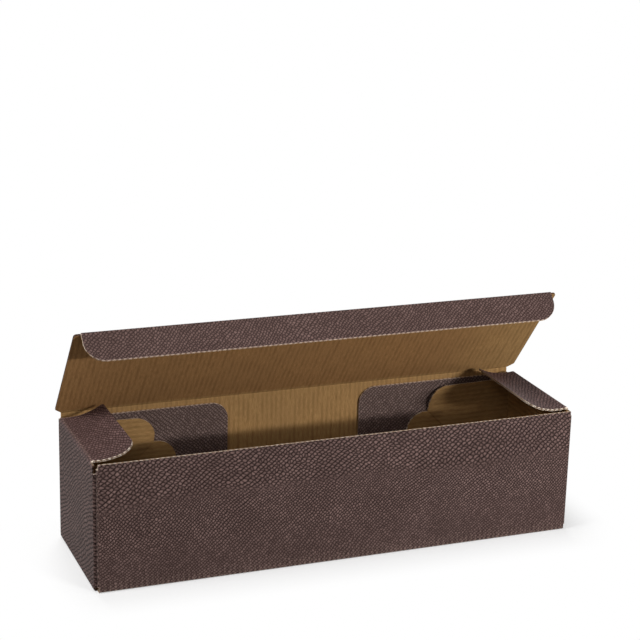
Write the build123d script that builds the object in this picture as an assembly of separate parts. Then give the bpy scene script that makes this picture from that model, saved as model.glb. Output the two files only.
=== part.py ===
from build123d import *
import os

# Gift box for one lying bottle, folded from micro-flute card that is printed outside and bare kraft inside.
# Millimetres, +Z up. The origin is the middle of the underside, the front wall faces -Y, the length runs along X.

# Sheet
board = 1.3
layer_gap = 0.2
fold_radius = 0.5
hinge_gap = 0.3

# Tray, measured over its outer faces
box_length = 340.0
box_depth = 100.0
wall_height = 88.0
wall_end_gap = 0.2

# Printed flaps at the ends of the long walls, turned in by 180 degrees
turn_in_length = 119.0
turn_in_drop = 3.0
turn_in_lift = 4.0
turn_in_corner = 12.0
spine_radius = 1.0

# Kraft gussets, which run on from the end walls, with a crease at 45 degrees and a glued lobe below it
gusset_drop = 7.0
gusset_lift = 3.0
gusset_side = 19.0
gusset_corner = 14.0
crease_offset = 4.5
crease_radius = 0.35
crease_margin = 1.5
lobe_width = 16.0
lobe_lift = 14.0
lobe_corner = 14.0

# Dust flaps on the end walls
flap_reach = 30.0
flap_margin = 9.0
flap_front_corner = 10.0
flap_back_corner = 3.0
flap_sink = 0.1
left_flap_tilt = 15.0
right_flap_tilt = 11.0

# Lid on the back wall
lid_overhang = 2.0
lid_hinge_inset = 2.0
lid_step_start = 1.0
lid_step_run = 3.8
lid_corner = 2.0
lid_angle = 51.0

# Tuck flap on the lid's front edge
tuck_depth = 20.5
tuck_side_gap = 1.2
tuck_setback = 0.55
tuck_corner = 14.0
tuck_fold = 98.0

# Bent folds have a round outside that follows the inside radius
bend_radius = fold_radius + board
half_board = board / 2
half_length = box_length / 2
half_depth = box_depth / 2

# A hinged panel ends in a half round on its crease, and the panel that carries it stops short of that
hinge_stop = half_board + hinge_gap

# Layers in front of each other at a long wall: wall, turned-in flap, gusset
turn_in_face = half_depth - 2 * board - layer_gap
gusset_back = turn_in_face - layer_gap
gusset_face = gusset_back - board
wall_end = half_length - board - wall_end_gap

# Heights of the creases that carry the lid and the dust flaps
lid_crease_y = half_depth - half_board
lid_crease_z = wall_height + hinge_stop
flap_crease_x = half_length - half_board
flap_crease_z = wall_height - flap_sink - half_board
end_wall_height = flap_crease_z - hinge_stop


# A strip bent up at both ends: the section is drawn in a vertical plane and runs along its normal.
def bent_channel(section_plane, span, rise, run):
    outside = Rectangle(span, rise, align=(Align.CENTER, Align.MIN))
    outside = fillet(outside.vertices().group_by(Axis.Y)[0], bend_radius)
    inside = Pos(0, board) * Rectangle(span - 2 * board, rise, align=(Align.CENTER, Align.MIN))
    inside = fillet(inside.vertices().group_by(Axis.Y)[0], fold_radius)
    return extrude(section_plane * (outside - inside), amount=run / 2, both=True)


# A sheet of card with a given outline, whose printed or kraft face lies in the drawing plane.
def panel(drawing_plane, points, radii):
    outline = FilletPolyline(*points, radius=radii, close=True)
    return extrude(drawing_plane * make_face(outline), amount=board)


# The flap turned in at the right end of the front wall: a spine with two bends, then the flap itself.
def turned_in_flap():
    low = turn_in_lift
    high = wall_height - turn_in_drop
    spine_reach = 2 * bend_radius
    spine_depth = 2 * board + layer_gap
    fold = Rectangle(spine_reach, spine_depth, align=(Align.MAX, Align.MIN))
    fold = fillet(fold.vertices().group_by(Axis.X)[-1], spine_radius)
    slot = Pos(-board, board) * Rectangle(spine_reach, layer_gap, align=(Align.MAX, Align.MIN))
    spine = extrude(Pos(wall_end, -half_depth, low) * (fold - slot), amount=high - low)
    start = wall_end - spine_radius
    stop = wall_end - turn_in_length
    points = [(start, low), (start, high), (stop, high), (stop, low)]
    radii = [0, 0, turn_in_corner, turn_in_corner]
    flap_plane = Plane.XZ.offset(turn_in_face)
    return spine + panel(flap_plane, points, radii)


# The gusset at the right end of the front wall, with the bend that joins it to the end wall.
def corner_gusset():
    low = gusset_lift
    high = wall_height - gusset_drop
    side_foot = high - gusset_side
    bend_x = half_length - bend_radius
    side_x = half_length - crease_offset - side_foot
    lobe_x = side_x - lobe_width
    points = [
        (bend_x, low),
        (bend_x, high),
        (side_x, high),
        (side_x, side_foot),
        (lobe_x, side_foot),
        (lobe_x, lobe_lift),
        (half_length - crease_offset - lobe_lift, lobe_lift),
        (half_length - crease_offset - low, low),
    ]
    radii = [0, 0, gusset_corner, 0, lobe_corner, lobe_corner, 0, 0]
    sheet = panel(Plane.XZ.offset(gusset_face), points, radii)
    crease_foot = lobe_lift + crease_margin
    crease_head = side_foot - crease_margin
    crease_run = Line(
        (half_length - crease_offset - crease_foot, -gusset_face, crease_foot),
        (half_length - crease_offset - crease_head, -gusset_face, crease_head),
    )
    crease_section = Plane(origin=crease_run @ 0, z_dir=crease_run % 0)
    sheet -= sweep(crease_section * Circle(crease_radius), path=crease_run)
    bend_centre = Pos(bend_x, bend_radius - gusset_back, low)
    quarter = Rectangle(bend_radius, bend_radius, align=(Align.MIN, Align.MAX))
    bend = (Circle(bend_radius) - Circle(fold_radius)) & quarter
    return sheet + extrude(bend_centre * bend, amount=high - low)


# A hinged panel, drawn flat from its crease along +X, with a half round of the board's thickness on the crease.
def hinged_panel(points, radii, crease_width):
    sheet = panel(Plane.XY.offset(-half_board), points, radii)
    bead = Rot(90, 0, 0) * Cylinder(half_board, crease_width)
    return sheet + bead


# Tray: a long strip and a cross strip share the bottom, and the four corners are alike.
long_walls = bent_channel(Plane.YZ, box_depth, wall_height, 2 * (wall_end - spine_radius))
end_walls = bent_channel(Plane.XZ, box_length, end_wall_height, 2 * (gusset_back - bend_radius))
front_right = Part() + [turned_in_flap(), corner_gusset()]
front_corners = front_right + mirror(front_right, about=Plane.YZ)
tray = long_walls + end_walls + front_corners + mirror(front_corners, about=Plane.XZ)

# Lid: narrow at its crease and stepped out to its full width, open by its rest angle.
lid_reach = lid_crease_y + gusset_face - tuck_setback
lid_half_width = half_length + lid_overhang
lid_half_crease = half_length - lid_hinge_inset
lid_front = lid_reach - hinge_stop
lid_step_end = lid_step_start + lid_step_run
lid_points = [
    (0, -lid_half_crease),
    (lid_step_start, -lid_half_crease),
    (lid_step_end, -lid_half_width),
    (lid_front, -lid_half_width),
    (lid_front, lid_half_width),
    (lid_step_end, lid_half_width),
    (lid_step_start, lid_half_crease),
    (0, lid_half_crease),
]
lid_radii = [0, 0, 0, lid_corner, lid_corner, 0, 0, 0]
lid_sheet = hinged_panel(lid_points, lid_radii, 2 * lid_half_crease)
lid_place = Pos(0, lid_crease_y, lid_crease_z) * Rot(-lid_angle, 0, 0) * Rot(0, 0, -90)
lid = lid_place * lid_sheet

# Tuck flap: square at its crease, rounded at its free corners, folded down from the lid's front edge.
tuck_half_width = half_length - board - tuck_side_gap
tuck_points = [
    (0, -tuck_half_width),
    (tuck_depth, -tuck_half_width),
    (tuck_depth, tuck_half_width),
    (0, tuck_half_width),
]
tuck_sheet = hinged_panel(tuck_points, [0, tuck_corner, tuck_corner, 0], 2 * tuck_half_width)
tuck_flap = lid_place * Pos(lid_reach, 0, 0) * Rot(0, tuck_fold, 0) * tuck_sheet

# Dust flaps: rounded at the front corner, nearly square at the back, raised from level by their rest tilts.
flap_half_width = half_depth - flap_margin
flap_points = [
    (0, -flap_half_width),
    (flap_reach, -flap_half_width),
    (flap_reach, flap_half_width),
    (0, flap_half_width),
]
left_radii = [0, flap_front_corner, flap_back_corner, 0]
left_sheet = hinged_panel(flap_points, left_radii, 2 * flap_half_width)
right_sheet = hinged_panel(flap_points, left_radii[::-1], 2 * flap_half_width)
left_dust_flap = Pos(-flap_crease_x, 0, flap_crease_z) * Rot(0, -left_flap_tilt, 0) * left_sheet
right_place = Pos(flap_crease_x, 0, flap_crease_z) * Rot(0, right_flap_tilt, 0) * Rot(0, 0, 180)
right_dust_flap = right_place * right_sheet

os.makedirs("parts", exist_ok=True)
pieces = {
    "tray": tray,
    "lid": lid,
    "tuck_flap": tuck_flap,
    "left_dust_flap": left_dust_flap,
    "right_dust_flap": right_dust_flap,
}
for node, shape in pieces.items():
    export_step(shape, f"parts/{node}.step")
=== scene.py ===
import bpy
import math
import numpy as np
from mathutils import Matrix


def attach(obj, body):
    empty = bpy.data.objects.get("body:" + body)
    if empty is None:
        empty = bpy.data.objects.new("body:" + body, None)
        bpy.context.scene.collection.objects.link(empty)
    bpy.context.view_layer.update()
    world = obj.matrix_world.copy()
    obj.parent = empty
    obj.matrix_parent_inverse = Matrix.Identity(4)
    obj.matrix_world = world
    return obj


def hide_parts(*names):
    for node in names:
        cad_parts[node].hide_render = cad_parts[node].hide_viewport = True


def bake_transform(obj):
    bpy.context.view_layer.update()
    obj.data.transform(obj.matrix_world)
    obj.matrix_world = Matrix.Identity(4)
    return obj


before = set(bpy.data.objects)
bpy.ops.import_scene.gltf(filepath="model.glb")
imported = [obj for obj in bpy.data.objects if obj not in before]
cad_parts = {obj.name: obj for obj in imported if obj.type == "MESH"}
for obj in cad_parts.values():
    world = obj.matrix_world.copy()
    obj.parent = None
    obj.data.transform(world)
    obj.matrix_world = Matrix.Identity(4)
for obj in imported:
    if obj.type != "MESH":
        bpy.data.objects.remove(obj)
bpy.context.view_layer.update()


# Front wall, bottom and back wall: one long strip of micro-flute card, printed outside and bare kraft inside.
# A wavy paper is glued between two liners, and its flutes run along the strip, over both scored folds.
# The front wall ends in a plain die-cut edge, where the open flutes show.
mm = 0.001
board = 1.3 * mm
print_liner = 0.3 * mm
kraft_liner = 0.25 * mm
flute_paper = 0.18 * mm
flute_pitch = 3.5 * mm
columns_per_flute = 6
washboard = 0.035 * mm
glue_gap = 0.005 * mm
thinnest_liner = 0.1 * mm
fold_inside = 0.5 * mm
bend_radius = fold_inside + board
bend_length = math.pi / 2 * (fold_inside + board / 2)
bend_steps = 6
worn_edge = 0.7 * mm
fold_rub = 0.7
sharp_edge = math.radians(35)
card_gloss = 0.06

half_length = 170 * mm
half_depth = 50 * mm
wall_height = 88 * mm
strip_half_length = 167.5 * mm
bottom_half = half_depth - bend_radius
strip_half_reach = bottom_half + bend_length + wall_height - bend_radius

PRINT, KRAFT, CUT, FLUTE = range(4)


def screen_colour(red, green, blue):
    """A colour as it looks on screen, 0 to 255, in the renderer's linear values."""
    shares = [value / 255 for value in (red, green, blue)]
    linear = [s / 12.92 if s <= 0.04045 else ((s + 0.055) / 1.055) ** 2.4 for s in shares]
    return (*linear, 1.0)


class Wire:
    """One output in a material's node tree. Arithmetic on wires adds Math nodes."""

    def __init__(self, tree, socket=None):
        self.tree = tree
        self.socket = socket

    def node(self, kind, settings, sockets, output=0):
        """Adds a node: its settings first, then the values or wires of its sockets."""
        added = self.tree.nodes.new(kind)
        for name, value in settings.items():
            setattr(added, name, value)
        for name, value in sockets.items():
            if isinstance(value, Wire):
                self.tree.links.new(value.socket, added.inputs[name])
            else:
                added.inputs[name].default_value = value
        return Wire(self.tree, added.outputs[output] if added.outputs else None)

    def math(self, operation, first, second):
        return self.node("ShaderNodeMath", {"operation": operation}, {0: first, 1: second})

    def __add__(self, other):
        return self.math("ADD", self, other)

    def __radd__(self, other):
        return self.math("ADD", other, self)

    def __sub__(self, other):
        return self.math("SUBTRACT", self, other)

    def __rsub__(self, other):
        return self.math("SUBTRACT", other, self)

    def __mul__(self, other):
        return self.math("MULTIPLY", self, other)

    def __rmul__(self, other):
        return self.math("MULTIPLY", other, self)


def new_finish(name):
    """An empty material, with a wire that gives the place on the flat sheet, in metres."""
    material = bpy.data.materials.new(name)
    material.use_nodes = True
    material.node_tree.nodes.clear()
    sheet = Wire(material.node_tree).node("ShaderNodeUVMap", {"uv_map": "sheet"}, {})
    return material, sheet


def coordinate(place, axis):
    return place.node("ShaderNodeSeparateXYZ", {}, {"Vector": place}, axis)


def noise(place, scale, detail=2.0, output="Fac"):
    sockets = {"Vector": place, "Scale": scale, "Detail": detail}
    return place.node("ShaderNodeTexNoise", {"noise_dimensions": "2D"}, sockets, output)


def stretched(place, across, along):
    """The sheet's place, scaled on its own across and along the flutes."""
    return place.node("ShaderNodeVectorMath", {"operation": "MULTIPLY"}, {0: place, 1: (across, along, 1)})


def ease(value, low, high, to_low=0.0, to_high=1.0):
    sockets = {"Value": value, "From Min": low, "From Max": high, "To Min": to_low, "To Max": to_high}
    return value.node("ShaderNodeMapRange", {"interpolation_type": "SMOOTHSTEP"}, sockets)


def tint(share, plain, full):
    return share.node("ShaderNodeMix", {"data_type": "RGBA"}, {0: share, 6: plain, 7: full}, 2)


def toned(share, paint, tone):
    """The paint times a tone, by share."""
    tone_there = tint(share, (1, 1, 1, 1), (*tone, 1))
    return share.node("ShaderNodeVectorMath", {"operation": "MULTIPLY"}, {0: paint, 1: tone_there})


def bump(height, depth, strength=1.0):
    return height.node("ShaderNodeBump", {}, {"Height": height, "Distance": depth, "Strength": strength})


def coat_with(sheet, sockets):
    surface = sheet.node("ShaderNodeBsdfPrincipled", {}, sockets)
    sheet.node("ShaderNodeOutputMaterial", {}, {"Surface": surface})


def flute_stripe(sheet):
    """Rises to 1 over the crest of each flute and falls to 0 between two of them."""
    turn = coordinate(sheet, "X") * (2 * math.pi / flute_pitch)
    return 0.5 + 0.5 * turn.math("SINE", turn, 0.0)


def reptile_scales(skin, across_rate, along_rate):
    """A slanting lattice of uneven scales: the height of each one's dome, and a chance value for its shade.
    The seams that lean to the right are pressed deeper than the others."""
    row_stretch = 0.85
    row_offset = 0.15
    lean = coordinate(skin, "X") * across_rate
    rise = coordinate(skin, "Y") * along_rate
    row = (lean + rise) * row_stretch
    lattice = skin.node("ShaderNodeCombineXYZ", {}, {"X": row, "Y": lean - rise})
    cell = {"Vector": lattice, "Scale": 1.0, "Randomness": 0.52}
    seam_settings = {"voronoi_dimensions": "2D", "feature": "DISTANCE_TO_EDGE"}
    seam = skin.node("ShaderNodeTexVoronoi", seam_settings, cell, "Distance")
    scale_settings = {"voronoi_dimensions": "2D", "feature": "F1"}
    chance = coordinate(skin.node("ShaderNodeTexVoronoi", scale_settings, cell, "Color"), "X")
    across_row = row.math("FRACT", row + row_offset, 0.0) - 0.5
    stroke = ease(row.math("ABSOLUTE", across_row, 0.0), 0.15, 0.46, 0.75, 1.0)
    return 1.0 - stroke * (1.0 - ease(seam, 0.04, 0.36)), chance


def printed_card():
    """Dark brown print with a small reptile scale, pressed a little into the liner, rubbed pale at the edges.
    The scales are broad along the front wall's top, long on the end walls, and small on the rest. They are
    fainter at the front wall's foot and on the hinged flaps. The ink is painted lighter on the dust flaps and
    on
    the flaps that are turned in: painted light, standing in for light that falls there."""
    material, sheet = new_finish("printed_card")
    slow_drift = (12.0, 14 * mm)
    fine_drift = (130.0, 1.6 * mm)
    skin = sheet
    for scale, reach in (slow_drift, fine_drift):
        drifting = {0: noise(sheet, scale, 1.0, "Color"), 1: (reach, reach, 0), 2: skin}
        skin = sheet.node("ShaderNodeVectorMath", {"operation": "MULTIPLY_ADD"}, drifting)

    # Where the panels lie on the flat sheet
    across = coordinate(sheet, "X")
    along = coordinate(sheet, "Y")
    from_middle = along.math("ABSOLUTE", along, 0.0)
    on_end = ease(across, 167.4 * mm, 167.5 * mm) * ease(from_middle, 60 * mm, 61 * mm, 1.0, 0.0)
    on_dust_flap = on_end * ease(across, 252 * mm, 254 * mm)
    on_turn_in = ease(across, 173 * mm, 176 * mm) * ease(from_middle, 100 * mm, 101 * mm)
    at_foot = ease(along, -88 * mm, -62 * mm) * ease(along, -50 * mm, -48 * mm, 1.0, 0.0)
    on_tuck = ease(along, 231 * mm, 233 * mm)
    below_broad = ease(coordinate(skin, "Y"), -104 * mm, -94 * mm)

    broad_width = 3.6 * mm
    broad_height = 2.95 * mm
    small_width = 2.45 * mm
    small_height = 2.35 * mm
    long_height = 4.1 * mm
    broad_dome, broad_chance = reptile_scales(skin, 1 / broad_width, 1 / broad_height)
    along_rate = 1 / small_height + on_end * (1 / long_height - 1 / small_height)
    small_dome, small_chance = reptile_scales(skin, 1 / small_width, along_rate)
    dome = broad_dome + below_broad * (small_dome - broad_dome)
    chance = broad_chance + below_broad * (small_chance - broad_chance)
    faint = 0.3 * (at_foot + on_tuck + on_dust_flap)
    faint_dome = 0.47
    dome = dome + faint * (faint_dome - dome)

    seam_ink = screen_colour(26, 16, 14)
    dark_ink = screen_colour(92, 73, 69)
    pale_ink = screen_colour(120, 97, 92)
    blotch_ink = screen_colour(82, 64, 60)
    rubbed_paper = screen_colour(178, 154, 140)
    # Painted light: the ink on the turned-in flaps and the dust flaps is made lighter, standing in for light.
    turn_in_painted_light_tone = (1.33, 1.45, 1.42)
    dust_flap_painted_light_tone = (1.22, 1.17, 1.22)
    blotch = 0.35 * ease(noise(sheet, 30.0, 3.0), 0.3, 0.7)
    scale_top = tint(blotch, tint(chance, dark_ink, pale_ink), blotch_ink)
    ink = tint(dome, seam_ink, scale_top)
    # Painted light on the turned-in flaps and the dust flaps.
    ink = toned(on_turn_in, ink, turn_in_painted_light_tone)
    ink = toned(on_dust_flap, ink, dust_flap_painted_light_tone)
    wear = sheet.node("ShaderNodeAttribute", {"attribute_name": "wear"}, {}, "Fac")
    crest = flute_stripe(sheet)
    rubbed = ease(wear * (0.25 + 0.5 * crest + 0.6 * noise(sheet, 900.0)), 0.2, 0.9)
    coat_with(sheet, {
        "Base Color": tint(rubbed * 0.7, ink, rubbed_paper),
        "Roughness": 0.66 - 0.12 * dome + 0.1 * rubbed,
        "Specular IOR Level": card_gloss,
        "Normal": bump(dome, 0.12 * mm, 0.6),
    })
    return material


def bare_kraft():
    """Unbleached kraft liner: long fibres, faint stripes where the flutes carry it, and small dark flecks.
    The lid's paper is painted darker and redder as painted shade, which fades out towards its right end."""
    material, sheet = new_finish("bare_kraft")
    dark_fibre = screen_colour(136, 104, 65)
    pale_fibre = screen_colour(158, 124, 80)
    cloud_colour = screen_colour(138, 108, 70)
    stripe_colour = screen_colour(112, 84, 51)
    fleck_colour = screen_colour(108, 78, 46)
    lid_painted_shade_tone = (0.88, 0.8, 0.8)
    fibre = noise(stretched(sheet, 2600, 240), 1.0, 4.0)
    cloud = 0.35 * ease(noise(sheet, 22.0, 3.0), 0.3, 0.7)
    stripe = flute_stripe(sheet) * ease(noise(stretched(sheet, 300, 60), 1.0, 2.0), 0.3, 0.7, 0.12, 0.62)
    fleck = 0.45 * ease(noise(stretched(sheet, 1500, 700), 1.0, 1.0), 0.68, 0.8)
    # Painted shade: the kraft inside the lid is darkened and reddened, less so towards its right end.
    on_lid = ease(coordinate(sheet, "Y"), 139 * mm, 141 * mm)
    lid_painted_shade = on_lid * ease(coordinate(sheet, "X"), 90 * mm, 165 * mm, 1.0, 0.0)
    paper = tint(ease(fibre, 0.3, 0.7), dark_fibre, pale_fibre)
    for share, colour in ((cloud, cloud_colour), (stripe, stripe_colour), (fleck, fleck_colour)):
        paper = tint(share, paper, colour)
    coat_with(sheet, {
        "Base Color": toned(lid_painted_shade, paper, lid_painted_shade_tone),
        "Roughness": 0.82,
        "Specular IOR Level": card_gloss,
        "Normal": bump(fibre, 0.05 * mm, 0.5),
    })
    return material


def cut_edge():
    """The pale torn fibres that a cutting rule leaves on a raw edge, with painted shade where a flute lies
    open.
    """
    material, sheet = new_finish("cut_edge")
    dark_fibre = screen_colour(216, 194, 174)
    pale_fibre = screen_colour(250, 238, 222)
    open_flute_shade_colour = screen_colour(104, 82, 66)
    torn = ease(noise(sheet, 1800.0, 3.0), 0.25, 0.75)
    # Painted shade: the edge is darkened in stripes where the open flute hollows lie.
    open_flute_shade = ease(flute_stripe(sheet), 0.15, 0.7, 0.75, 0.0)
    coat_with(sheet, {
        "Base Color": tint(open_flute_shade, tint(torn, dark_fibre, pale_fibre), open_flute_shade_colour),
        "Roughness": 0.9,
        "Specular IOR Level": card_gloss,
        "Normal": bump(torn, 0.08 * mm, 0.5),
    })
    return material


def flute_medium():
    """The wavy paper in the middle, thinner and darker than the kraft liner."""
    material, sheet = new_finish("flute_medium")
    dark_fibre = screen_colour(126, 94, 58)
    pale_fibre = screen_colour(152, 116, 74)
    fibre = ease(noise(stretched(sheet, 1800, 200), 1.0, 3.0), 0.3, 0.7)
    coat_with(sheet, {
        "Base Color": tint(fibre, dark_fibre, pale_fibre),
        "Roughness": 0.88,
        "Specular IOR Level": card_gloss,
    })
    return material


finishes = [printed_card(), bare_kraft(), cut_edge(), flute_medium()]


def closed_sheet(low, high, low_finish, high_finish, end_finish, side_finish):
    """Points, faces and finishes of a thin closed sheet between two grids of points, low and high."""
    columns, rows = low.shape[:2]
    corner = np.arange(2 * columns * rows).reshape(2, columns, rows)
    under, over = corner
    flat = [over[:-1, :-1], over[1:, :-1], over[1:, 1:], over[:-1, 1:]]
    back = [under[:-1, 1:], under[1:, 1:], under[1:, :-1], under[:-1, :-1]]
    first_end = [under[:-1, 0], under[1:, 0], over[1:, 0], over[:-1, 0]]
    last_end = [over[:-1, -1], over[1:, -1], under[1:, -1], under[:-1, -1]]
    first_side = [over[0, :-1], over[0, 1:], under[0, 1:], under[0, :-1]]
    last_side = [under[-1, :-1], under[-1, 1:], over[-1, 1:], over[-1, :-1]]
    faces = []
    kinds = []
    for group, kind in (
        (flat, high_finish),
        (back, low_finish),
        (first_end, end_finish),
        (last_end, end_finish),
        (first_side, side_finish),
        (last_side, side_finish),
    ):
        quads = np.stack([part.ravel() for part in group], axis=1)
        faces.append(quads)
        kinds.append(np.full(len(quads), kind))
    points = np.concatenate([low.reshape(-1, 3), high.reshape(-1, 3)])
    return points, np.concatenate(faces), np.concatenate(kinds)


def card_piece(name, sheets, flat_places, wear):
    """One mesh from closed sheets that share a grid. Each point keeps its place on the flat sheet."""
    points = []
    faces = []
    kinds = []
    count = 0
    for sheet_points, sheet_faces, sheet_kinds in sheets:
        points.append(sheet_points)
        faces.append(sheet_faces + count)
        kinds.append(sheet_kinds)
        count += len(sheet_points)
    faces = np.concatenate(faces)
    mesh = bpy.data.meshes.new(name)
    mesh.from_pydata(np.concatenate(points).tolist(), [], faces.tolist())
    for finish in finishes:
        mesh.materials.append(finish)
    mesh.polygons.foreach_set("material_index", np.concatenate(kinds).astype(np.int32))
    corner_points = np.empty(len(mesh.loops), np.int32)
    mesh.loops.foreach_get("vertex_index", corner_points)
    layers = 2 * len(sheets)
    flat = np.tile(flat_places.reshape(-1, 2), (layers, 1))
    uv = mesh.uv_layers.new(name="sheet")
    uv.data.foreach_set("uv", flat[corner_points].astype(np.float32).ravel())
    rubbed = mesh.attributes.new("wear", "FLOAT", "POINT")
    rubbed.data.foreach_set("value", np.tile(wear.ravel(), layers).astype(np.float32))
    mesh.polygons.foreach_set("use_smooth", np.ones(len(faces), bool))
    mesh.set_sharp_from_angle(angle=sharp_edge)
    piece = bpy.data.objects.new(name, mesh)
    bpy.context.scene.collection.objects.link(piece)
    return piece


def flute_columns(start, stop, extra=()):
    """Places across the flutes: an even count to each flute, and extra ones for an outline or a fold,
    which take the place of an even one that lies too close."""
    close_share = 0.35
    count = math.ceil((stop - start) / flute_pitch * columns_per_flute)
    even = np.linspace(start, stop, count + 1)
    spacing = (stop - start) / count
    extra = np.array([place for place in extra if start <= place <= stop], float)
    if len(extra):
        clear = np.min(np.abs(even[1:-1, None] - extra[None, :]), axis=1) > close_share * spacing
        even = np.concatenate([even[:1], even[1:-1][clear], even[-1:], extra])
    return np.unique(np.round(even, 7))


def corrugated(
    name, across, along, place, flat_shift=(0, 0), raw=(1, 1, 1, 1),
    fold_wear=None, press=None, end_finish=CUT, side_finish=CUT,
):
    """Corrugated board: two liners and the wavy paper between them, as closed sheets on one grid.
    across holds a place for each column, along that column's stations; place gives their points in the scene.
    raw says how far each cut edge is worn: first and last end, first and last side."""
    wide = np.broadcast_to(across[:, None], along.shape)
    wave = np.sin(2 * math.pi * wide / flute_pitch)
    middle_gap = board - print_liner - kraft_liner
    swing = (middle_gap - flute_paper) / 2 - glue_gap
    flute = kraft_liner + middle_gap / 2 + swing * wave
    kraft_face = washboard * (1 + wave) / 2
    if press is not None:
        kraft_face = kraft_face + press(wide, along)
    kraft_back = np.maximum(kraft_face + thinnest_liner, kraft_liner)
    levels = [
        (np.full_like(wave, board - print_liner), board - washboard * (1 - wave) / 2, FLUTE, PRINT),
        (kraft_face, kraft_back, KRAFT, FLUTE),
        (flute - flute_paper / 2, flute + flute_paper / 2, FLUTE, FLUTE),
    ]
    step = 0.01 * mm
    origin = place(wide[:1, :1], along[:1, :1], np.zeros((1, 1)))[0, 0]
    edges = [
        place(wide[:1, :1] + step, along[:1, :1], np.zeros((1, 1)))[0, 0] - origin,
        place(wide[:1, :1], along[:1, :1] + step, np.zeros((1, 1)))[0, 0] - origin,
        place(wide[:1, :1], along[:1, :1], np.full((1, 1), step))[0, 0] - origin,
    ]
    mirrored = np.linalg.det(np.array(edges)) < 0
    sheets = []
    for low, high, low_finish, high_finish in levels:
        grids = (place(wide, along, low), place(wide, along, high))
        points, faces, kinds = closed_sheet(*grids, low_finish, high_finish, end_finish, side_finish)
        sheets.append((points, faces[:, ::-1] if mirrored else faces, kinds))
    wear = np.zeros(along.shape) if fold_wear is None else fold_wear(wide, along)
    first_end, last_end, first_side, last_side = raw
    wear[:, 0] = np.maximum(wear[:, 0], first_end)
    wear[:, -1] = np.maximum(wear[:, -1], last_end)
    wear[0] = np.maximum(wear[0], first_side)
    wear[-1] = np.maximum(wear[-1], last_side)
    flat_places = np.stack([wide + flat_shift[0], along + flat_shift[1]], axis=-1)
    return card_piece(name, sheets, flat_places, wear)


def strip_place(across, along, height):
    """Folds the long strip up at its front and back; height runs from the kraft face to the print."""
    reach = np.abs(along)
    side = np.sign(along)
    radius = fold_inside + height
    turn = np.clip((reach - bottom_half) / (fold_inside + board / 2), 0, math.pi / 2)
    past = np.maximum(reach - bottom_half - bend_length, 0)
    y = side * (np.minimum(reach, bottom_half) + radius * np.sin(turn))
    z = bend_radius - radius * np.cos(turn) + past
    return np.stack([across, y, z], axis=-1)


def strip_fold_wear(across, along):
    off_fold = np.abs(np.abs(along) - bottom_half - bend_length / 2)
    return fold_rub * np.clip(1 - off_fold / bend_length, 0, 1)


def ride_on_box(piece):
    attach(piece, "box")
    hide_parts("tray")


strip_columns = flute_columns(-strip_half_length, strip_half_length)
bend_stations = bottom_half + bend_length * np.arange(bend_steps + 1) / bend_steps
wall_stations = strip_half_reach - np.array([60, 30, 4]) * mm
bottom_stations = np.array([-20, 20]) * mm
top_stations = [strip_half_reach - worn_edge, strip_half_reach]
half_stations = np.concatenate([bend_stations, wall_stations, top_stations])
strip_stations = np.concatenate([-half_stations[::-1], bottom_stations, half_stations])
strip_grid = np.broadcast_to(strip_stations, (len(strip_columns), len(strip_stations)))
front_edge_wear = 0.4
long_strip = corrugated(
    "long_strip", strip_columns, strip_grid, strip_place,
    raw=(front_edge_wear, 0, 0, 0), fold_wear=strip_fold_wear,
)
ride_on_box(long_strip)


# End walls: the ends of the same card, scored across the bottom and folded up, so their flutes lie level.
# Each one carries a dust flap on its top and a gusset on both of its sides.
end_wall_height = 86.3 * mm
end_half_width = 45.2 * mm
end_flat = half_length - bend_radius - strip_half_length


def end_wall_place(across, along, height, side):
    radius = fold_inside + height
    turn = np.clip((across - end_flat) / (fold_inside + board / 2), 0, math.pi / 2)
    past = np.maximum(across - end_flat - bend_length, 0)
    x = strip_half_length + np.minimum(across, end_flat) + radius * np.sin(turn)
    z = bend_radius - radius * np.cos(turn) + past
    return np.stack([side * x, along, z], axis=-1)


end_reach = end_flat + bend_length + end_wall_height - bend_radius
crease_wear = 2.5 * mm
crease_rub = 0.3


def end_fold_wear(across, along):
    off_fold = np.abs(across - end_flat - bend_length / 2)
    off_crease = (end_reach - across) / crease_wear
    on_fold = fold_rub * np.clip(1 - off_fold / bend_length, 0, 1)
    return np.maximum(on_fold, crease_rub * np.clip(1 - off_crease, 0, 1))


end_bend = end_flat + bend_length * np.arange(bend_steps + 1) / bend_steps
end_columns = flute_columns(0, end_reach, [*end_bend, end_reach - crease_wear, end_reach - crease_wear / 2])
end_stations = np.array([-1, -0.6, -0.2, 0.2, 0.6, 1]) * end_half_width
end_grid = np.broadcast_to(end_stations, (len(end_columns), len(end_stations)))
for side_name, side in (("left", -1), ("right", 1)):
    end_wall = corrugated(
        f"{side_name}_end_wall", end_columns, end_grid,
        lambda across, along, height, side=side: end_wall_place(across, along, height, side),
        flat_shift=(strip_half_length, 0), raw=(0, 0, 0, 0), fold_wear=end_fold_wear,
        end_finish=PRINT,
    )
    ride_on_box(end_wall)


# Turned-in flaps: the long walls' own ends, folded back on themselves and laid flat inside the wall.
# Their printed side faces the bottle, and their two free corners are rounded by the cutting rule.
wall_end = 168.5 * mm
spine_radius = wall_end - strip_half_length
flap_inner_face = 47.2 * mm
layer_gap = 0.2 * mm
turn_in_bottom = 4 * mm
turn_in_top = 85 * mm
turn_in_stop = 49.5 * mm
turn_in_reach = strip_half_length - turn_in_stop
turn_in_corner = 12 * mm
turn_in_flat_start = 200 * mm
spine_depth = half_depth - flap_inner_face
spine_run = math.pi * spine_radius + spine_depth - 2 * spine_radius
spine_rub = 0.45
arc_steps = 12


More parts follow.
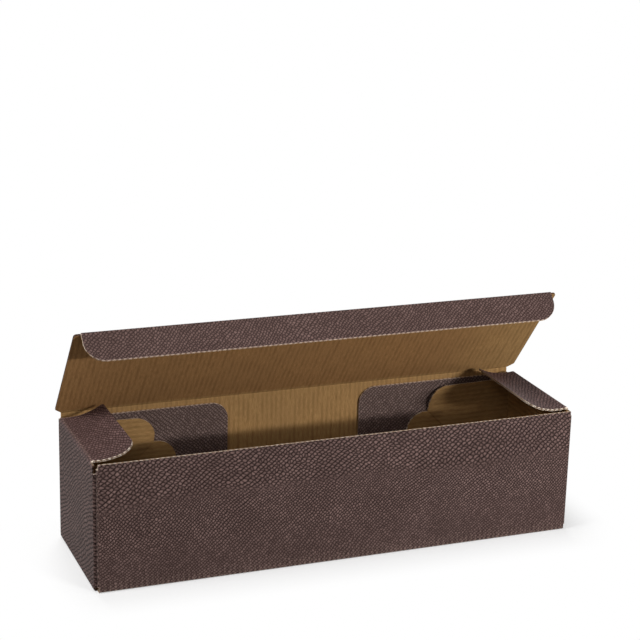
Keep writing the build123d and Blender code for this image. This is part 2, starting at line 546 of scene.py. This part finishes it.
def turn_in_place(across, along, height, side, front):
    """Follows the outside of the fold round the wall's end; the inside of the fold is nipped together."""
    turn = np.clip(across / spine_run, 0, 1) * math.pi
    past = np.maximum(across - spine_run, 0)
    second_bend = turn > math.pi / 2
    centre_y = np.where(second_bend, flap_inner_face + spine_radius, half_depth - spine_radius)
    outer_x = strip_half_length + spine_radius * np.sin(turn)
    outer_y = centre_y + spine_radius * np.cos(turn)
    nip_y = half_depth - board - layer_gap / 2
    inner_x = strip_half_length - (board - spine_radius) * np.sin(turn)
    inner_y = nip_y + layer_gap / 2 * np.cos(turn)
    share = height / board
    x = inner_x + (outer_x - inner_x) * share - past
    y = inner_y + (outer_y - inner_y) * share
    return np.stack([side * x, front * y, along], axis=-1)


def corner_inset(distance, radius):
    """How far a rounded corner draws the outline in, at a distance from the straight end."""
    off = np.clip(radius - distance, 0, radius)
    return radius - np.sqrt(radius**2 - off**2)


def corner_columns(end, radius, direction):
    """Columns that follow a rounded corner by equal angles, from the end inwards."""
    angles = np.arange(arc_steps + 1) / arc_steps * math.pi / 2
    return end + direction * radius * (1 - np.cos(angles))


def spread_stations(low, high, shares, margin):
    """Stations between two outlines: both ends, a worn margin inside each, and shares of the rest."""
    inner_low = low + margin
    inner_high = high - margin
    between = [inner_low + (inner_high - inner_low) * share for share in shares]
    return np.stack([low, inner_low, *between, inner_high, high], axis=1)


def spine_wear(across, along):
    return spine_rub * np.clip(1 - across / spine_run, 0, 1)


spine_columns = spine_run * np.arange(arc_steps + 1) / arc_steps
turn_in_end = spine_run + turn_in_reach
turn_in_columns = flute_columns(
    0, turn_in_end, [*spine_columns, *corner_columns(turn_in_end, turn_in_corner, -1)]
)
turn_in_inset = corner_inset(turn_in_end - turn_in_columns, turn_in_corner)
turn_in_grid = spread_stations(
    turn_in_bottom + turn_in_inset, turn_in_top - turn_in_inset, (0.3, 0.7), worn_edge
)
for side_name, side in (("left", -1), ("right", 1)):
    for depth_name, front in (("front", -1), ("back", 1)):
        turned_in = corrugated(
            f"{depth_name}_{side_name}_turned_in_flap", turn_in_columns, turn_in_grid,
            lambda across, along, height, side=side, front=front: turn_in_place(
                across, along, height, side, front
            ),
            flat_shift=(strip_half_length, turn_in_flat_start * front), raw=(1, 1, 0, 1),
            fold_wear=spine_wear,
        )
        ride_on_box(turned_in)


# Gussets: kraft wings that run on from the end walls, round a quarter bend, in front of the turned-in flaps.
# A crease at 45 degrees lets each one fold flat with its corner; the rounded lobe below it is glued down.
gusset_bottom = 3 * mm
gusset_top = 81 * mm
gusset_side_x = 103.5 * mm
gusset_corner = 14 * mm
lobe_x = 87.5 * mm
lobe_bottom = 14 * mm
lobe_top = 62 * mm
lobe_corner = 14 * mm
crease_offset = 4.5 * mm
crease_start = half_length - crease_offset
crease_margin = 1.5 * mm
crease_press = 0.55 * mm
wing_lift = 3 * mm
wing_rise = 7 * mm
crease_half_width = 0.8 * mm
step_width = 0.05 * mm
gusset_bend_x = half_length - bend_radius


def gusset_place(across, along, height, side, front):
    radius = fold_inside + height
    turn = np.clip(along / (fold_inside + board / 2), 0, math.pi / 2)
    past = np.maximum(along - bend_length, 0)
    x = gusset_bend_x + radius * np.cos(turn) - past
    above_crease = np.clip((x + across - crease_start) / math.sqrt(2) / wing_rise, 0, 1)
    inward = np.clip((gusset_bend_x - x) / (gusset_bend_x - gusset_side_x), 0, 1)
    lift = max(front, 0) * wing_lift * above_crease * inward
    y = end_half_width + radius * np.sin(turn) - lift
    return np.stack([side * x, front * y, across], axis=-1)


def gusset_free_x(z):
    """Where the gusset ends at a height: a slanted foot, the rounded lobe, then the rounded upper wing."""
    lobe = lobe_x + corner_inset(z - lobe_bottom, lobe_corner) + corner_inset(lobe_top - z, lobe_corner)
    wing = gusset_side_x + corner_inset(gusset_top - z, gusset_corner)
    return np.where(z < lobe_bottom, crease_start - z, np.where(z <= lobe_top, lobe, wing))


def gusset_crease_x(z):
    return np.maximum(crease_start - z, gusset_free_x(z) + 2 * crease_half_width)


def gusset_press(across, along):
    """Depth of the 45-degree crease in the kraft face, fading out at both of its ends."""
    x = gusset_bend_x - (along - bend_length)
    off = np.abs(x - (crease_start - across)) / crease_half_width
    start = np.clip((across - lobe_bottom) / crease_margin - 1, 0, 1)
    stop = np.clip((lobe_top - across) / crease_margin - 1, 0, 1)
    return crease_press * np.clip(1 - off, 0, 1) ** 1.5 * start * stop


gusset_columns = flute_columns(
    gusset_bottom, gusset_top,
    [
        lobe_bottom - step_width,
        *corner_columns(lobe_bottom, lobe_corner, 1),
        *corner_columns(lobe_top, lobe_corner, -1),
        lobe_top + step_width,
        *corner_columns(gusset_top, gusset_corner, -1),
    ],
)
gusset_end = bend_length + gusset_bend_x - gusset_free_x(gusset_columns)
gusset_crease = bend_length + gusset_bend_x - gusset_crease_x(gusset_columns)
gusset_bend = bend_length * np.arange(bend_steps + 1)[None] / bend_steps
gusset_bend = np.repeat(gusset_bend, len(gusset_columns), axis=0)
crease_stations = gusset_crease[:, None] + crease_half_width * np.array([-1, -0.5, -0.2, 0, 0.2, 0.5, 1])
before_crease = bend_length + (crease_stations[:, :1] - bend_length) * np.array([0.33, 0.67])
to_free_edge = gusset_end[:, None] - crease_stations[:, -1:]
past_crease = gusset_end[:, None] - to_free_edge * np.array([0.67, 0.33, 0.05, 0])
gusset_grid = np.concatenate([gusset_bend, before_crease, crease_stations, past_crease], axis=1)
for side_name, side in (("left", -1), ("right", 1)):
    for depth_name, front in (("front", -1), ("back", 1)):
        gusset = corrugated(
            f"{depth_name}_{side_name}_gusset", gusset_columns, gusset_grid,
            lambda across, along, height, side=side, front=front: gusset_place(
                across, along, height, side, front
            ),
            flat_shift=(strip_half_length, end_half_width), raw=(0, 1, 1, 1), press=gusset_press,
        )
        ride_on_box(gusset)


# Lid: the back wall runs on into it over a scored crease, and its flutes run from back to front.
# It is narrow at the crease, so that it clears the end walls, and steps out to cover them.
hinge_stop = 0.95 * mm
lid_crease = np.array([0, half_depth - board / 2, wall_height + hinge_stop])
lid_angle = math.radians(51)
lid_run = np.array([0, -math.cos(lid_angle), math.sin(lid_angle)])
lid_up = np.array([0, math.sin(lid_angle), math.cos(lid_angle)])
lid_half_width = 172 * mm
lid_half_crease = 168 * mm
lid_step_start = 1 * mm
lid_step_end = 4.8 * mm
lid_corner = 2 * mm
lid_reach = 94.5 * mm
lid_front = lid_reach - hinge_stop
along_x = np.array([1, 0, 0])
lid_flat_start = strip_half_reach + hinge_stop


def panel_place(across, along, height, crease, cross, run, up):
    """A hinged panel: across and along from its crease, with the board's middle on the crease."""
    lift = height - board / 2
    return crease + across[..., None] * cross + along[..., None] * run + lift[..., None] * up


def lid_back(x):
    slant = np.clip((np.abs(x) - lid_half_crease) / (lid_half_width - lid_half_crease), 0, 1)
    wide = np.abs(x) > lid_half_crease
    return np.where(wide, lid_step_start + slant * (lid_step_end - lid_step_start), hinge_stop)


step_columns = np.array([lid_half_crease, lid_half_crease + step_width])
lid_columns = flute_columns(
    -lid_half_width, lid_half_width,
    [
        *step_columns,
        *-step_columns,
        *corner_columns(-lid_half_width, lid_corner, 1),
        *corner_columns(lid_half_width, lid_corner, -1),
    ],
)
lid_shares = np.array([0.0, 0.02, 0.2, 0.4, 0.6, 0.8, 0.96, 1.0])
lid_low = lid_back(lid_columns)[:, None]
lid_high = lid_front - corner_inset(lid_half_width - np.abs(lid_columns), lid_corner)[:, None]
lid_grid = lid_low + (lid_high - lid_low) * lid_shares
lid_panel = corrugated(
    "lid_panel", lid_columns, lid_grid,
    lambda across, along, height: panel_place(across, along, height, lid_crease, along_x, lid_run, lid_up),
    flat_shift=(0, lid_flat_start), raw=(0, 0, 0, 0), end_finish=PRINT, side_finish=PRINT,
)
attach(lid_panel, "lid")
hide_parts("lid")


# Tuck flap: the lid's front edge, folded down to slide inside the front wall.
# Its free corners are rounded, and its open flutes show along the free edge.
tuck_fold = math.radians(98)
tuck_crease = lid_crease + lid_reach * lid_run
tuck_run = math.cos(tuck_fold) * lid_run - math.sin(tuck_fold) * lid_up
tuck_up = math.sin(tuck_fold) * lid_run + math.cos(tuck_fold) * lid_up
tuck_half_width = 167.5 * mm
tuck_depth = 20.5 * mm
tuck_corner = 14 * mm
tuck_columns = flute_columns(
    -tuck_half_width, tuck_half_width,
    [
        *corner_columns(-tuck_half_width, tuck_corner, 1),
        *corner_columns(tuck_half_width, tuck_corner, -1),
    ],
)
tuck_end = tuck_depth - corner_inset(tuck_half_width - np.abs(tuck_columns), tuck_corner)
tuck_shares = np.array([0.0, 0.3, 0.6, 0.96, 1.0])
tuck_grid = hinge_stop + (tuck_end[:, None] - hinge_stop) * tuck_shares
tuck_panel = corrugated(
    "tuck_panel", tuck_columns, tuck_grid,
    lambda across, along, height: panel_place(across, along, height, tuck_crease, along_x, tuck_run, tuck_up),
    flat_shift=(0, lid_flat_start + lid_reach), raw=(0, 1, 1, 1),
)
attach(tuck_panel, "tuck")
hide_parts("tuck_flap")


# Dust flaps: the tops of the end walls, folded in over the bottle before the lid comes down.
# Their flutes lie along the crease; they spring up a little, and sag between crease and free edge.
flap_half_width = 41 * mm
flap_reach = 30 * mm
flap_front_corner = 10 * mm
flap_back_corner = 3 * mm
flap_bow = 2.6 * mm
flap_crease_x = half_length - board / 2
flap_crease_z = end_wall_height + hinge_stop
flap_columns = flute_columns(
    hinge_stop, flap_reach,
    [
        hinge_stop + crease_wear / 2,
        hinge_stop + crease_wear,
        *corner_columns(flap_reach, flap_front_corner, -1),
        *corner_columns(flap_reach, flap_back_corner, -1),
    ],
)
flap_front = corner_inset(flap_reach - flap_columns, flap_front_corner) - flap_half_width
flap_back = flap_half_width - corner_inset(flap_reach - flap_columns, flap_back_corner)
flap_grid = spread_stations(flap_front, flap_back, (0.2, 0.4, 0.6, 0.8), worn_edge)
flap_flat_start = strip_half_length + end_reach + hinge_stop
along_y = np.array([0, 1, 0])


def flap_place(across, along, height, crease, side, tilt):
    """Panel from the crease inwards, sagging between the crease and the free edge."""
    run = np.array([-side * math.cos(tilt), 0, math.sin(tilt)])
    up = np.array([side * math.sin(tilt), 0, math.cos(tilt)])
    share = (across - hinge_stop) / (flap_reach - hinge_stop)
    sag = flap_bow * 4 * share * (1 - share)
    return panel_place(along, across, height - sag, crease, along_y, run, up)


def flap_fold_wear(across, along):
    return crease_rub * np.clip(1 - (across - hinge_stop) / crease_wear, 0, 1)


flap_tilts = {"left": math.radians(15), "right": math.radians(11)}
for side_name, side in (("left", -1), ("right", 1)):
    flap_crease = np.array([side * flap_crease_x, 0, flap_crease_z])
    dust_flap = corrugated(
        f"{side_name}_dust_flap_panel", flap_columns, flap_grid,
        lambda across, along, height, crease=flap_crease, side=side, tilt=flap_tilts[side_name]: flap_place(
            across, along, height, crease, side, tilt
        ),
        flat_shift=(flap_flat_start, 0), raw=(1, 1, 0, 1), fold_wear=flap_fold_wear,
    )
    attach(dust_flap, f"{side_name}_flap")
    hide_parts(f"{side_name}_dust_flap")


# Creases: the card itself, scored and bent, between each hinged panel and the panel that carries it.
# The flutes are crushed flat there, the print is rubbed pale along the bend, and the kraft is pinched inside.
band_columns = 80
band_rows = np.array([-1, -0.75, -0.5, -0.25, 0, 0.25, 0.5, 0.75, 1]) * hinge_stop
crease_pinch = 0.2 * mm
crease_flat = 0.1 * mm
lid_band_rub = 0.4
tuck_band_rub = 0.2
flap_band_rub = 0.35


def crease_band(name, crease, cross, half_width, run, up, fold, flat_place, rub):
    """A bent strip over one crease: run points from the carrier to the crease, up is its printed side,
    and the hinged panel is turned away from the print by fold."""
    across = np.linspace(-half_width, half_width, band_columns + 1)
    wide, along = np.meshgrid(across, band_rows, indexing="ij")
    share = (along + hinge_stop) / (2 * hinge_stop)
    turn = fold * share**2 * (3 - 2 * share)

    def bent(height):
        forward = along * np.cos(turn) + height * np.sin(turn)
        lift = height * np.cos(turn) - along * np.sin(turn)
        return crease + wide[..., None] * cross + forward[..., None] * run + lift[..., None] * up

    crushed = np.clip(1 - np.abs(along) / hinge_stop, 0, 1)
    low = bent(crease_pinch * crushed - board / 2)
    high = bent(board / 2 - crease_flat * crushed)
    points, faces, kinds = closed_sheet(low, high, KRAFT, PRINT, FLUTE, CUT)
    mirrored = np.dot(np.cross(cross, run), up) < 0
    wear = np.full(along.shape, rub)
    flat_places = np.stack(flat_place(wide, along), axis=-1)
    band = card_piece(name, [(points, faces[:, ::-1] if mirrored else faces, kinds)], flat_places, wear)
    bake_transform(band)
    return band


upward = np.array([0, 0, 1])
lid_band = crease_band(
    "lid_crease_band", lid_crease, along_x, strip_half_length, upward, along_y,
    math.pi / 2 - lid_angle, lambda wide, along: (wide, lid_flat_start + along), lid_band_rub,
)
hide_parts("lid")
tuck_band = crease_band(
    "tuck_crease_band", tuck_crease, along_x, tuck_half_width, lid_run, lid_up,
    tuck_fold, lambda wide, along: (wide, lid_flat_start + lid_reach + along), tuck_band_rub,
)
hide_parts("tuck_flap")
for side_name, side in (("left", -1), ("right", 1)):
    flap_band = crease_band(
        f"{side_name}_flap_crease_band",
        np.array([side * flap_crease_x, 0, flap_crease_z]), along_y, flap_half_width,
        upward, np.array([side, 0, 0]), math.pi / 2 - flap_tilts[side_name],
        lambda wide, along: (flap_flat_start + along, wide), flap_band_rub,
    )
    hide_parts(f"{side_name}_dust_flap")


# Floor, light and camera: a white table top that fades into a white background, and a long lens.
# A narrow lamp stands low in front at the right, with a small lamp and a low bright card by the right end.
# Soft boxes stand at the left, behind and above the lid, and high in front as a fill.
floor_size = 6.0
floor_drop = 0.05 * mm
shadow_reach = 40 * mm
shadow_glow = 0.4
lit_grey = (0.2, 0.2, 0.2, 1)
seen_grey = (0.8, 0.8, 0.8, 1)
pure_white = (1, 1, 1, 1)
floor_mesh = bpy.data.meshes.new("floor")
floor_corners = [(-1, -1), (1, -1), (1, 1), (-1, 1)]
floor_points = [(x * floor_size / 2, y * floor_size / 2, -floor_drop) for x, y in floor_corners]
floor_mesh.from_pydata(floor_points, [], [(0, 1, 2, 3)])
seen_kinds = ("Camera", "Glossy", "Transmission")
floor_finish = bpy.data.materials.new("white_table")
floor_finish.use_nodes = True
floor_finish.node_tree.nodes.clear()


def seen_white(tree):
    """1 for a ray from the camera, a reflection or a view through something clear, and 0 for plain light."""
    camera_ray, *other_rays = [
        Wire(tree).node("ShaderNodeLightPath", {}, {}, f"Is {kind} Ray") for kind in seen_kinds
    ]
    seen = camera_ray
    for ray in other_rays:
        seen = seen.math("MAXIMUM", seen, ray)
    return seen


seen = seen_white(floor_finish.node_tree)
spot = seen.node("ShaderNodeNewGeometry", {}, {}, "Position")
spread = seen.node("ShaderNodeVectorMath", {"operation": "ABSOLUTE"}, {0: spot})
base = (half_length, half_depth, 0)
beyond = seen.node("ShaderNodeVectorMath", {"operation": "SUBTRACT"}, {0: spread, 1: base})
beyond = seen.node("ShaderNodeVectorMath", {"operation": "MAXIMUM"}, {0: beyond, 1: (0, 0, 0)})
away = seen.node("ShaderNodeVectorMath", {"operation": "LENGTH"}, {0: beyond}, "Value")
table_colour = tint(seen, lit_grey, seen_grey)
table = seen.node("ShaderNodeBsdfDiffuse", {}, {"Color": table_colour})
glow = seen.node("ShaderNodeEmission", {}, {"Color": pure_white, "Strength": 1.0})
fade = seen * ease(away, 0, shadow_reach, shadow_glow, 1.0)
top = seen.node("ShaderNodeMixShader", {}, {"Fac": fade, 1: table, 2: glow})
seen.node("ShaderNodeOutputMaterial", {}, {"Surface": top})
floor_mesh.materials.append(floor_finish)
floor = bpy.data.objects.new("floor", floor_mesh)
bpy.context.scene.collection.objects.link(floor)

ambient = 0.16
world = bpy.data.worlds.new("white_room")
world.use_nodes = True
world.node_tree.nodes.clear()
seen = seen_white(world.node_tree)
room = seen.node("ShaderNodeBackground", {}, {"Color": pure_white, "Strength": ambient})
white = seen.node("ShaderNodeBackground", {}, {"Color": pure_white, "Strength": 1.0})
air = seen.node("ShaderNodeMixShader", {}, {"Fac": seen, 1: room, 2: white})
seen.node("ShaderNodeOutputWorld", {}, {"Surface": air})
bpy.context.scene.world = world

lamp_target = np.array([0, 0, 60 * mm])


def soft_box(name, azimuth, elevation, distance, width, height, level):
    """A soft box that faces the middle of the object. Azimuth 0 stands in front, 90 at the right.
    At a level of 1 it lights a surface that faces it so that a colour renders as it is written."""
    turn = math.radians(azimuth)
    climb = math.radians(elevation)
    back = np.array([math.sin(turn) * math.cos(climb), -math.cos(turn) * math.cos(climb), math.sin(climb)])
    right = np.array([math.cos(turn), math.sin(turn), 0])
    lamp_data = bpy.data.lights.new(name, "AREA")
    lamp_data.shape = "RECTANGLE"
    lamp_data.size = width
    lamp_data.size_y = height
    lamp_data.energy = level * (math.pi * distance) ** 2
    lamp = bpy.data.objects.new(name, lamp_data)
    rows = np.stack([right, np.cross(back, right), back], axis=1)
    lamp.matrix_world = Matrix.Translation(lamp_target + back * distance) @ Matrix(rows.tolist()).to_4x4()
    bpy.context.scene.collection.objects.link(lamp)


soft_box("front_lamp", azimuth=28, elevation=14.2, distance=1.6, width=0.4, height=0.06, level=0.68)
soft_box("right_lamp", azimuth=50, elevation=15, distance=0.51, width=0.12, height=0.05, level=0.17)
soft_box("left_box", azimuth=-80, elevation=45, distance=1.4, width=0.5, height=0.5, level=0.64)
soft_box("back_box", azimuth=180, elevation=55, distance=1.5, width=0.8, height=0.8, level=0.6)
soft_box("fill_box", azimuth=-35, elevation=40, distance=1.5, width=0.8, height=0.8, level=0.2)
soft_box("right_card", azimuth=55, elevation=-2, distance=0.6, width=0.4, height=0.06, level=0.12)

bpy.context.scene.view_settings.view_transform = "Standard"

camera_azimuth = math.radians(-21.612)
camera_elevation = math.radians(16.985)
camera_roll = math.radians(1.518)
camera_place = (-0.43067, -1.08472, 0.51049)
camera_data = bpy.data.cameras.new("camera")
camera_data.sensor_width = 36
camera_data.lens = 102.17
camera = bpy.data.objects.new("camera", camera_data)
camera_back = np.array([
    math.sin(camera_azimuth) * math.cos(camera_elevation),
    -math.cos(camera_azimuth) * math.cos(camera_elevation),
    math.sin(camera_elevation),
])
level_right = np.array([math.cos(camera_azimuth), math.sin(camera_azimuth), 0])
level_up = np.cross(camera_back, level_right)
camera_right = math.cos(camera_roll) * level_right + math.sin(camera_roll) * level_up
camera_up = math.cos(camera_roll) * level_up - math.sin(camera_roll) * level_right
camera_axes = np.stack([camera_right, camera_up, camera_back], axis=1)
camera.matrix_world = Matrix.Translation(camera_place) @ Matrix(camera_axes.tolist()).to_4x4()
bpy.context.scene.collection.objects.link(camera)
bpy.context.scene.camera = camera
